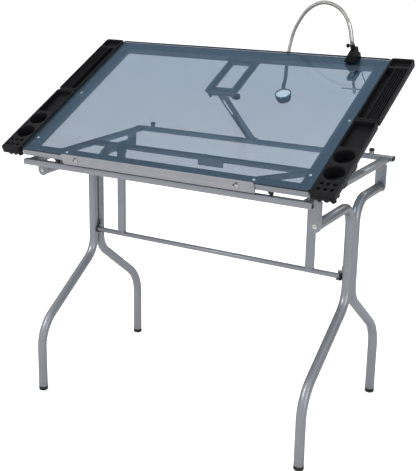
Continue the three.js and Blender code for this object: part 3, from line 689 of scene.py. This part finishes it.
def build_brace_plug(name, side):
    """A short flat-ended cap on one end of the crossbar."""
    node = f"brace_plug_{name}"
    low, high = box_mm(node)
    centre = middle(node)
    inner, outer = (high.x, low.x) if side < 0 else (low.x, high.x)
    long = abs(outer - inner)
    radius = (high.z - low.z) / 2
    bm = bmesh.new()
    shell = [(0, 0), (radius - 0.3, 0), (radius, 0.3), (radius, long - 1.7), (radius - 0.5, long - 0.8),
             (radius - 1.4, long - 0.2), (radius - 2.4, long), (0, long)]
    turn(bm, shell, 36, on_axis((inner, centre.y, centre.z), (side, 0, 0)))
    finished(node + "_form", bm, RUBBER, "brace", (node,), sharp=50)


def build_rivet(node, body, shank):
    """A pin along X with a domed head at the wider end and a peened end at the other."""
    low, high = box_mm(node)
    centre = middle(node)
    head_radius = (high.z - low.z) / 2
    long = high.x - low.x
    mesh = frame["nodes"][node].data
    wide = [v.co.x / MM for v in mesh.vertices if abs(v.co.z / MM - centre.z) > head_radius * 0.9
            or abs(v.co.y / MM - centre.y) > head_radius * 0.9]
    head_high = sum(wide) / len(wide) > centre.x
    way = 1 if head_high else -1
    start = low.x if head_high else high.x
    bm = bmesh.new()
    thick = 2.4
    profile = [(0, 0), (shank - 0.5, 0), (shank, 0.5), (shank, long - thick)]
    profile += [(r, long - thick + h) for r, h in dome(head_radius, thick, 6)]
    profile.insert(4, (head_radius - 0.2, long - thick))
    turn(bm, profile, 28, on_axis((start, centre.y, centre.z), (way, 0, 0)))
    finished(node + "_form", bm, STEEL, body, (node,), sharp=40)


# ---- tilting top --------------------------------------------------------------------------
def build_glass():
    """A slab with polished faces and a darker, softly rounded ground edge."""
    bm = bmesh.new()
    outline(bm, rounded_rect(-GLASS_HALF, GLASS_HALF, 0, GLASS_DEPTH, 9, 12), -5, 0)
    soften(bm, 0.9, 60, 3)
    glass = finished("glass_top_slab", bm, GLASS, "top", ("glass_top",),
                     place=TOP, sharp=25)
    glass.data.materials.append(EDGE)
    for face in glass.data.polygons:
        if abs(face.normal.dot(UP)) < 0.98:
            face.material_index = 1


def build_top_frame():
    refined("top_frame", SILVER, 1.2, 40)
    refined("strut_yoke", SILVER, 0.8, 40)
    refined("prop_strut", SILVER, 0.6, 40)
    for name, _ in SIDES:
        refined(f"tray_hanger_{name}", SILVER, 0.5, 40)
    for x, s in ((-291.6, 17), (423.4, 64), (435.5, 300), (-428, 64), (-428, 300), (291.6, 17)):
        bm = bmesh.new()
        pad = [(0, -5.28), (3.6, -5.28), (3.6, -5.04), (0, -5.02)]
        turn(bm, pad, 24, TOP @ Matrix.Translation((x, s, 0)))
        tag = f"glass_pad_{int(abs(x))}_{int(s)}_{'left' if x < 0 else 'right'}"
        # The pads share the lamp lens's material, so they glow as well: a painted glow, since they are no lamp.
        finished(tag, bm, LENS, "top", ())


def build_ledge():
    refined("pencil_ledge", PALE, 0.6, 40)
    for name, _ in SIDES:
        node = f"ledge_screw_{name}"
        bm = bmesh.new()
        spot = TOP.inverted() @ middle(node)
        face = on_axis((spot.x, -3.6, spot.z), (0, -1, 0))
        sweep(bm, [Vector((spot.x, 0.1, spot.z)), Vector((spot.x, -3.7, spot.z))], 2.3, 20)
        pan_head(bm, face, 5.4, 2.4)
        finished(node + "_form", bm, STEEL, "top", (node,), place=TOP)
        build_bumper(name)


def build_bumper(name):
    node = f"front_bumper_{name}"
    spot = TOP.inverted() @ middle(node)
    bm = bmesh.new()
    profile = [(0, -41.9), (3.4, -41.9), (4.3, -41.2), (5.1, -39.4), (6.0, -35.0), (6.2, -34.2),
               (7.0, -33.8), (8.6, -29.0), (9.0, -27.6), (9.0, -23.6), (8.6, -23.1), (0, -23.1)]
    turn(bm, profile, 32, Matrix.Translation((spot.x, spot.y, 0)))
    finished(node + "_form", bm, RUBBER, "top", (node,), place=TOP)


def build_lock():
    """The strut's bolt, and a seven-lobed knob on a stem beside it."""
    pin = TOP.inverted() @ middle("strut_bolt")
    bm = bmesh.new()
    sweep(bm, [Vector((9.8, pin.y, pin.z)), Vector((41, pin.y, pin.z))], 3.9, 24)
    finished("lock_knob_stem", bm, STEEL, "top", (), place=TOP)
    bm = bmesh.new()
    lobes = 7
    sides = 70
    rings = []
    levels = ((0.0, 0, 0), (6.2, 0, 0), (7.4, 0.1, 0.5), (9.0, 0.8, 2.4), (9.3, 1.0, 5),
              (9.3, 1.0, 11), (8.8, 0.9, 13.6), (7.2, 0.3, 15.4), (5.0, 0, 15.9), (0.0, 0, 16))
    for radius, depth, height in levels:
        if radius == 0:
            rings.append([bm.verts.new((0, 0, height))])
            continue
        ring = []
        for k in range(sides):
            a = math.tau * k / sides
            r = radius - depth * (0.5 + 0.5 * math.cos(lobes * a))
            ring.append(bm.verts.new((r * math.cos(a), r * math.sin(a), height)))
        rings.append(ring)
    for a, b in zip(rings, rings[1:]):
        for k in range(sides):
            m = (k + 1) % sides
            corners = [a[k % len(a)], a[m % len(a)], b[m % len(b)], b[k % len(b)]]
            kept = [v for i, v in enumerate(corners) if v not in corners[:i]]
            if len(kept) > 2:
                bm.faces.new(kept)
    place = TOP @ on_axis((40.5, pin.y, pin.z), (1, 0, 0))
    finished("lock_knob_grip", bm, BLACK, "top", ("lock_knob",), place=place, sharp=45)
    bm = bmesh.new()
    profile = [(0, 0), (3.9, 0), (3.9, 31), (7, 31), (7, 32.6)]
    profile += [(r, 32.6 + h) for r, h in dome(6.6, 3.6, 7)]
    turn(bm, profile, 32, on_axis((-9.6, pin.y, pin.z), (-1, 0, 0)))
    finished("strut_bolt_form", bm, STEEL, "top", ("strut_bolt",), place=TOP, sharp=40)


# ---- trays --------------------------------------------------------------------------------
TRAY_IN = 448.2
TRAY_OUT = 514.0
TRAY_MID = (TRAY_IN + TRAY_OUT) / 2


def cutter(points, z0, z1):
    bm = bmesh.new()
    outline(bm, points, z0, z1)
    return bm


def round_cutter(x, y, radius, z0, z1, sides=48):
    bm = bmesh.new()
    profile = [(0, z0), (radius - 1.5, z0), (radius - 0.4, z0 + 0.6), (radius, z0 + 2), (radius, z1), (0, z1)]
    turn(bm, profile, sides, Matrix.Translation((x, y, 0)))
    return bm


def ring_cutter(x, y, radius, z0, z1):
    """Takes a shallow step round the mouth of a cup."""
    bm = bmesh.new()
    turn(bm, [(0, z0), (radius, z0), (radius, z1), (0, z1)], 48, Matrix.Translation((x, y, 0)))
    return bm


def mirrored(points, side):
    return [(side * x, y) for x, y in points]


def build_front_tray(name, side):
    split = 298.5
    floor = -16
    bm = bmesh.new()
    outline(bm, mirrored(rounded_rect(TRAY_IN, TRAY_OUT, -10, split, 8), side), floor, 2)
    cups = [(side * TRAY_MID, s) for s in (76, 143)]
    pens = [(side * (TRAY_MID + 2 + dx), s) for s in (11.5, 32.5) for dx in (-17.5, 0, 17.5)]
    under = bmesh.new()
    cup = [(0, -35), (26.0, -35), (28.6, -33.5), (29.5, -31), (29.5, -14), (0, -14)]
    pen = [(0, -35), (5.2, -35), (6.9, -34), (7.5, -32.5), (7.5, -14), (0, -14)]
    for x, s in cups:
        turn(under, cup, 48, Matrix.Translation((x, s, 0)))
    for x, s in pens:
        turn(under, pen, 28, Matrix.Translation((x, s, 0)))
    body = combined(bm, [under], "UNION")
    holes = [round_cutter(x, s, 27, -33, 4) for x, s in cups]
    holes += [round_cutter(x, s, 5.5, -33, 4, 28) for x, s in pens]
    holes += [ring_cutter(x, s, 28.2, 0.9, 4) for x, s in cups]
    bin_floor = floor + 2
    cuts = ((5, 182, split - 6, 6, bin_floor, 4), (3.4, 180.4, split - 4.4, 7, 0.2, 4),
            (3, -12, -8.4, 1, -6.5, -4.2))
    for inset, s0, s1, corner, z0, z1 in cuts:
        hole = rounded_rect(TRAY_IN + inset, TRAY_OUT - inset, s0, s1, corner)
        holes.append(cutter(mirrored(hole, side), z0, z1))
    bm = combined(body, holes, "DIFFERENCE")
    soften(bm, 0.8, 34, 2)
    node = f"tray_front_{name}"
    finished(node + "_shell", bm, TRAY, node, (node,), place=TOP, sharp=38)


def build_rear_tray(name, side):
    split = 301.5
    rear = 598
    bm = bmesh.new()
    outline(bm, mirrored(rounded_rect(TRAY_IN, TRAY_OUT, split, rear, 8), side), -16, 2)
    run = (split + 6, 548)
    holes = [cutter(mirrored(rounded_rect(TRAY_IN + 5, TRAY_IN + 26, *run, 6), side), -14, 4)]
    holes.append(cutter(mirrored(rounded_rect(TRAY_IN + 5, TRAY_OUT - 5, 556, rear - 6, 6), side), -10, 4))
    for k in range(5):
        x = TRAY_IN + 30 + k * 6.4
        holes.append(cutter(mirrored(rounded_rect(x, x + 4.4, *run, 2.1), side), -7, 4))
    step = rounded_rect(TRAY_IN + 28, TRAY_OUT - 3.4, run[0] - 1, run[1] + 1, 4)
    holes.append(cutter(mirrored(step, side), -0.6, 4))
    bm = combined(bm, holes, "DIFFERENCE")
    soften(bm, 0.7, 34, 2)
    node = f"tray_rear_{name}"
    finished(node + "_shell", bm, TRAY, node, (node,), place=TOP, sharp=38)


# ---- lamp ---------------------------------------------------------------------------------
SOCKET_X = 342
SOCKET_S = 588


def build_clamp():
    refined("clamp_body", BLACK, 1.4, 40, 3)
    bar = TOP.inverted() @ middle("tommy_bar")
    s = bar.y
    x = (TOP.inverted() @ middle("clamp_screw")).x
    top, bottom, steps = -29, -83, 112
    line = [Vector((x, s, top + (bottom - top) * k / steps)) for k in range(steps + 1)]
    crest, root = 3.95, 3.35
    bm = bmesh.new()
    sweep(bm, line, [crest if k % 2 else root for k in range(steps + 1)], 24)
    foot = [(0, -29), (9, -28.2), (9.9, -27.4), (9.9, -24.0), (9.2, -23.3), (0, -23.3)]
    turn(bm, foot, 36, Matrix.Translation((x, s, 0)))
    boss = [(0, -104), (3.8, -104), (4.9, -102.6), (4.9, -84.6), (4.0, -83), (0, -83)]
    turn(bm, boss, 32, Matrix.Translation((x, s, 0)))
    finished("clamp_screw_form", bm, STEEL, "clamp_screw", ("clamp_screw",),
             place=TOP, sharp=35)
    low, high = box_mm("tommy_bar")
    half = (high.x - low.x) / 2
    bm = bmesh.new()
    sweep(bm, [Vector((bar.x - half + 1.5, s, bar.z)), Vector((bar.x + half - 1.5, s, bar.z))], 1.9, 20)
    knob = [(0, 0), (1.9, 0), (2.1, 0.4), (2.1, 1.2), (1.4, 1.9), (0, 2)]
    for end in (-1, 1):
        turn(bm, knob, 20, on_axis((bar.x + end * (half - 2), s, bar.z), (end, 0, 0)))
    finished("tommy_bar_form", bm, STEEL, "clamp_screw", ("tommy_bar",), place=TOP, sharp=40)


def build_arm():
    """The arm's wound ribs, run at an even pitch along a smooth curve, with a sleeve at its foot."""
    lens = TOP.inverted() @ middle("lamp_lens")
    head_x, head_s = lens.x, lens.y
    guide = [(SOCKET_X, SOCKET_S, 44.8), (341, 589, 57), (337, 598, 83), (329, 607, 106),
             (299, 628, 133), (248, 643, 141), (195, 650, 114), (145, 647, 50), (124, 634, -5),
             (121, 611, -38), (133, 572, -44), (151, 523, -44), (163, 482, -44),
             (head_x - 13, head_s + 22, -44)]
    line = smooth_line([Vector(p) for p in guide], 2600)
    lengths = [0.0]
    for a, b in zip(line, line[1:]):
        lengths.append(lengths[-1] + (b - a).length)
    total = lengths[-1]
    pitch = 2.6
    path = []
    radii = []
    j = 0
    steps = int(total / pitch * 6)
    for k in range(steps + 1):
        want = total * k / steps
        while j < len(lengths) - 2 and lengths[j + 1] < want:
            j += 1
        share = (want - lengths[j]) / max(lengths[j + 1] - lengths[j], 1e-9)
        path.append(line[j].lerp(line[j + 1], share))
        radii.append(5.0 + 0.28 * math.cos(math.tau * want / pitch))
    bm = bmesh.new()
    sweep(bm, path, radii, 16)
    finished("flexible_arm_coil", bm, RIBBED, "top", ("flexible_arm",),
             place=TOP, sharp=60)
    bm = bmesh.new()
    sleeve = [point for point, length in zip(line, lengths) if length < 62]
    sweep(bm, sleeve[::12] + [sleeve[-1]], 6.1, 28)
    finished("flexible_arm_sleeve", bm, STEEL, "top", (), place=TOP, sharp=40)


def smooth_line(points, steps):
    """A centripetal curve through the points."""
    def knot(a, b):
        return max((b - a).length ** 0.5, 1e-4)

    out = []
    spans = len(points) - 1
    per = max(1, steps // spans)
    for i in range(spans):
        p1, p2 = points[i], points[i + 1]
        p0 = points[i - 1] if i > 0 else p1 * 2 - p2
        p3 = points[i + 2] if i + 2 < len(points) else p2 * 2 - p1
        d0, d1, d2 = knot(p0, p1), knot(p1, p2), knot(p2, p3)
        m1 = ((p1 - p0) / d0 - (p2 - p0) / (d0 + d1) + (p2 - p1) / d1) * d1
        m2 = ((p2 - p1) / d1 - (p3 - p1) / (d1 + d2) + (p3 - p2) / d2) * d1
        for k in range(per):
            t = k / per
            t2, t3 = t * t, t * t * t
            ends = p1 * (2 * t3 - 3 * t2 + 1) + m1 * (t3 - 2 * t2 + t)
            out.append(ends + p2 * (3 * t2 - 2 * t3) + m2 * (t3 - t2))
    out.append(points[-1])
    return out


def build_cord():
    guide = ((355.4, 604, -30), (357, 599, -38), (361, 588, -51), (370, 576, -65), (381, 566, -80))
    line = smooth_line([Vector(p) for p in guide], 60)
    bm = bmesh.new()
    sweep(bm, line, 1.45, 16)
    finished("lamp_cord_form", bm, RUBBER, "top", ("lamp_cord",), place=TOP, sharp=50)


def build_socket():
    bm = bmesh.new()
    collar = [(0, 30.4), (6.6, 30.4), (7, 30.9), (7.5, 33.2), (7.2, 37), (6.8, 43.2), (6.2, 43.9), (0, 43.9)]
    turn(bm, collar, 36, Matrix.Translation((SOCKET_X, SOCKET_S, 0)))
    thumb = [(0, 5), (2.5, 5), (2.5, 10.6), (5.4, 10.6), (6.0, 11.2), (6.0, 15.8), (5.2, 17), (0, 17)]
    turn(bm, thumb, 32, on_axis((SOCKET_X, SOCKET_S, 39), (-1, 0, 0)))
    finished("lamp_socket_form", bm, BLACK, "top", ("lamp_socket",), place=TOP, sharp=35)


def build_head():
    """A ribbed round housing with a boss where the arm enters."""
    spot = TOP.inverted() @ middle("lamp_lens")
    x, s = spot.x, spot.y
    profile = [(0, -56), (13, -56), (15.5, -55.2)]
    for k in range(5):
        r = 17.5 + k * 1.1
        z = -54 + k * 3.4
        profile += [(r, z), (r + 0.9, z + 0.6), (r + 0.9, z + 1.8), (r + 0.2, z + 2.4)]
    profile += [(22.6, -37.5), (23, -37), (23, -30.6), (22.4, -30), (21.2, -30), (20.9, -30.6),
                (20.9, -36), (0, -36)]
    bm = bmesh.new()
    turn(bm, profile, 56, Matrix.Translation((x, s, 0)))
    boss = [Vector((x - 12.6, s + 21, -44)), Vector((x - 12.0, s + 20.0, -44)), Vector((x - 6, s + 6, -44))]
    sweep(bm, boss, [5.8, 6.5, 6.5], 28)
    finished("lamp_head_shell", bm, BLACK, "top", ("lamp_head",), place=TOP, sharp=35)


def build_lens():
    """A frosted disc with rings moulded into its face."""
    spot = TOP.inverted() @ middle("lamp_lens")
    profile = [(0, -35.6), (20.5, -35.6), (20.6, -33.2)]
    for k in range(9):
        r = 20 - k * 2.2
        profile += [(r, -32.4 + k * 0.12), (r - 1.1, -32.9 + k * 0.12)]
    profile += [(0, -31.6)]
    bm = bmesh.new()
    turn(bm, profile, 56, Matrix.Translation((spot.x, spot.y, 0)))
    finished("lamp_lens_form", bm, LENS, "top", ("lamp_lens",), place=TOP, sharp=25)


# ---- stage --------------------------------------------------------------------------------
def build_stage():
    bm = bmesh.new()
    centre = bm.verts.new((0, 0, 0))
    rings = []
    for radius in (0.6, 1.5, 4.0, 16.0):
        angles = [math.tau * k / 72 for k in range(72)]
        rings.append([bm.verts.new((radius * math.cos(a), radius * math.sin(a), 0)) for a in angles])
    for k in range(72):
        m = (k + 1) % 72
        bm.faces.new((centre, rings[0][k], rings[0][m]))
        for low, high in zip(rings, rings[1:]):
            bm.faces.new((low[k], high[k], high[m], low[m]))
    mesh = bpy.data.meshes.new("floor")
    bm.to_mesh(mesh)
    bm.free()
    mesh.materials.append(pale_floor())
    floor = bpy.data.objects.new("floor", mesh)
    bpy.context.scene.collection.objects.link(floor)


def soft_light(name, place, target, size, watts, colour=(1, 1, 1)):
    data = bpy.data.lights.new(name, "AREA")
    data.shape = "RECTANGLE"
    data.size, data.size_y = size
    data.energy = watts
    data.color = colour
    lamp = bpy.data.objects.new(name, data)
    lamp.location = place
    lamp.rotation_euler = (Vector(target) - Vector(place)).to_track_quat("-Z", "Y").to_euler()
    bpy.context.scene.collection.objects.link(lamp)


def build_light():
    """A plain white backdrop, and a softer surround that is brightest behind the camera."""
    world = bpy.data.worlds.new("studio")
    bpy.context.scene.world = world
    world.use_nodes = True
    tree = world.node_tree
    tree.nodes.clear()
    out = tree.nodes.new("ShaderNodeOutputWorld")
    back = tree.nodes.new("ShaderNodeBackground")
    back.inputs["Strength"].default_value = 1.0
    place = tree.nodes.new("ShaderNodeTexCoord")
    facing = tree.nodes.new("ShaderNodeVectorMath")
    facing.operation = "DOT_PRODUCT"
    facing.inputs[1].default_value = Vector((0.10, -0.72, 0.69)).normalized()
    ramp = tree.nodes.new("ShaderNodeMapRange")
    ramp.inputs["From Min"].default_value = -0.6
    ramp.inputs["From Max"].default_value = 1.0
    ramp.inputs["To Min"].default_value = 0.10
    ramp.inputs["To Max"].default_value = 1.05
    path = tree.nodes.new("ShaderNodeLightPath")
    choose = tree.nodes.new("ShaderNodeMix")
    choose.data_type = "RGBA"
    choose.inputs[7].default_value = (1.0, 1.0, 1.0, 1)
    tree.links.new(place.outputs["Generated"], facing.inputs[0])
    tree.links.new(facing.outputs["Value"], ramp.inputs["Value"])
    tree.links.new(path.outputs["Is Camera Ray"], choose.inputs[0])
    tree.links.new(ramp.outputs["Result"], choose.inputs[6])
    tree.links.new(choose.outputs[2], back.inputs["Color"])
    tree.links.new(back.outputs[0], out.inputs["Surface"])
    target = (0, 0, 0.6)
    soft_light("key", (-1.6, -3.0, 3.2), target, (1.3, 1.3), 70)
    soft_light("fill", (3.4, -1.6, 1.6), target, (0.9, 2.0), 26)
    soft_light("rear", (0.4, 3.4, 3.2), target, (2.4, 1.0), 30)


def shift_only_here(camera, path, amount):
    """Shifts the lens at the camera's first position, and not when it is moved to another one.

    The driver adds up several readings of the camera's X, so its input changes fast as it moves.
    """
    setattr(camera.data, path, amount)
    curve = camera.data.driver_add(path)
    curve.driver.type = "SUM"
    readings = 5
    for _ in range(readings):
        reading = curve.driver.variables.new()
        reading.type = "TRANSFORMS"
        reading.targets[0].id = camera
        reading.targets[0].transform_type = "LOC_X"
    for modifier in list(curve.modifiers):
        curve.modifiers.remove(modifier)
    for key in list(curve.keyframe_points):
        curve.keyframe_points.remove(key)
    curve.extrapolation = "CONSTANT"
    here = readings * camera.location.x
    for offset, value in ((-0.05, 0.0), (-0.02, amount), (0.02, amount), (0.05, 0.0)):
        key = curve.keyframe_points.insert(here + offset, value)
        key.interpolation = "LINEAR"


def build_camera():
    data = bpy.data.cameras.new("camera")
    data.sensor_width = 36
    data.lens = 36 * 941.12 / 471
    camera = bpy.data.objects.new("camera", data)
    camera.location = (1.2962, -2.3443, 1.3574)
    azimuth, down = math.radians(32.67), math.radians(15.86)
    ahead = Vector((-math.sin(azimuth) * math.cos(down), math.cos(azimuth) * math.cos(down), -math.sin(down)))
    camera.rotation_mode = "QUATERNION"
    camera.rotation_quaternion = ahead.to_track_quat("-Z", "Y")
    data.clip_end = 100
    bpy.context.scene.collection.objects.link(camera)
    bpy.context.scene.camera = camera
    shift_only_here(camera, "shift_x", 0.1262)
    shift_only_here(camera, "shift_y", -0.0601)


build_rails()
build_rest_caps()
build_legs()
build_brace()
for pin in ("hinge_pin_left", "hinge_pin_right"):
    build_rivet(pin, "frame", 3.9)
build_rivet("strut_pin", "frame", 2.9)
build_glass()
build_top_frame()
build_ledge()
build_lock()
for tray_name, tray_side in SIDES:
    build_front_tray(tray_name, tray_side)
    build_rear_tray(tray_name, tray_side)
build_clamp()
build_cord()
build_socket()
build_arm()
build_head()
build_lens()
build_stage()
build_light()
build_camera()
bpy.context.scene.view_settings.view_transform = "Standard"

bpy.context.view_layer.update()
